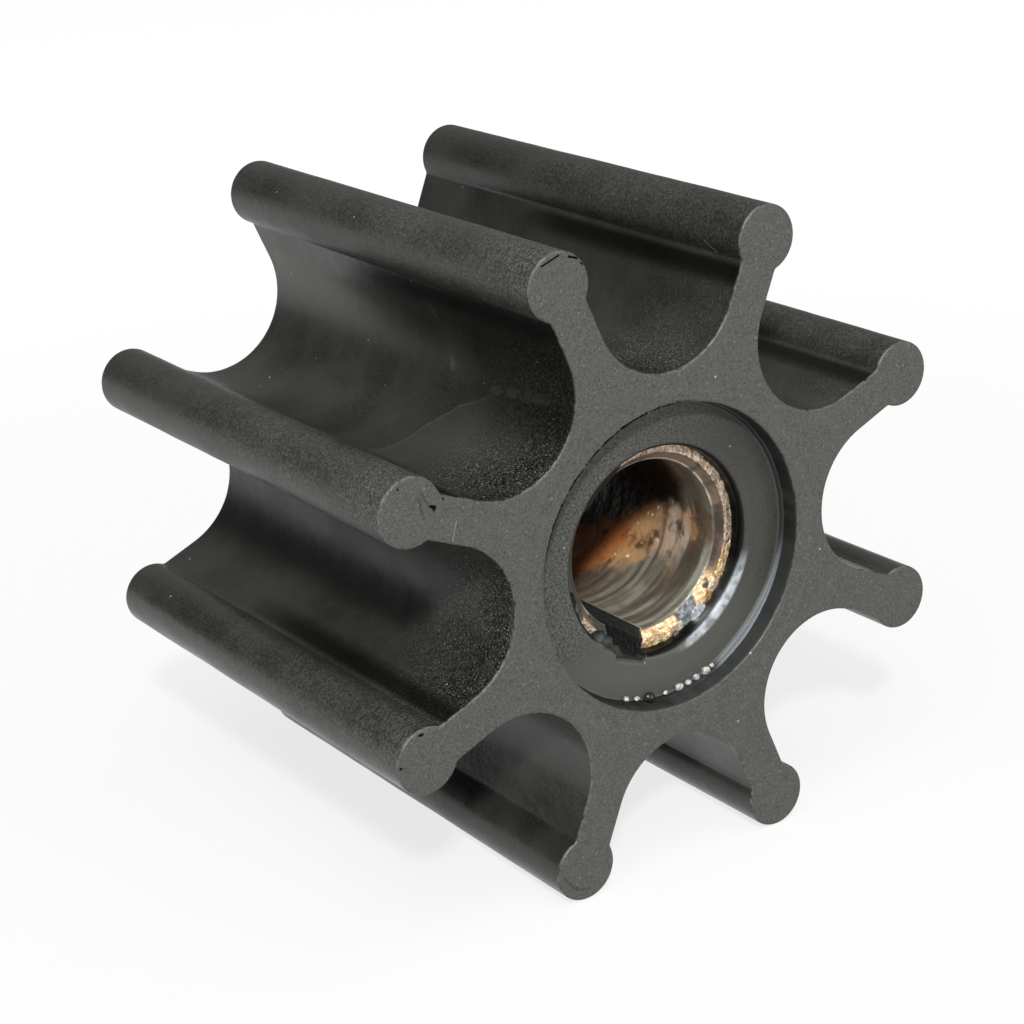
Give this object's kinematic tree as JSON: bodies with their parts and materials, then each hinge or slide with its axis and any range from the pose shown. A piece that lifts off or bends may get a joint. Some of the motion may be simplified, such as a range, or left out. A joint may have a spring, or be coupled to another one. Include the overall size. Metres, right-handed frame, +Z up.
{
  "type": "rubber pump impeller",
  "caption": "Flexible-vane rubber impeller for a raw-water pump: bead-tipped radial vanes round a recessed hub, with a keyed bronze insert in the bore.",
  "frame": {"origin": "on the shaft axis, half way between the two end faces", "axes": "+Y along the shaft axis; -Y is the end face seen first; +Z up with the impeller lying on two neighbouring vane tips"},
  "size_m": [0.0606, 0.0508, 0.0606],
  "materials": {
    "rubber": "moulded matte nitrile rubber, dusty grey on the end faces",
    "bronze": "machined bronze, tarnished brown in the bore"
  },
  "bodies": {
    "root": {"rubber_impeller_body": "rubber", "bronze_insert": "bronze"}
  },
  "joints": []
}
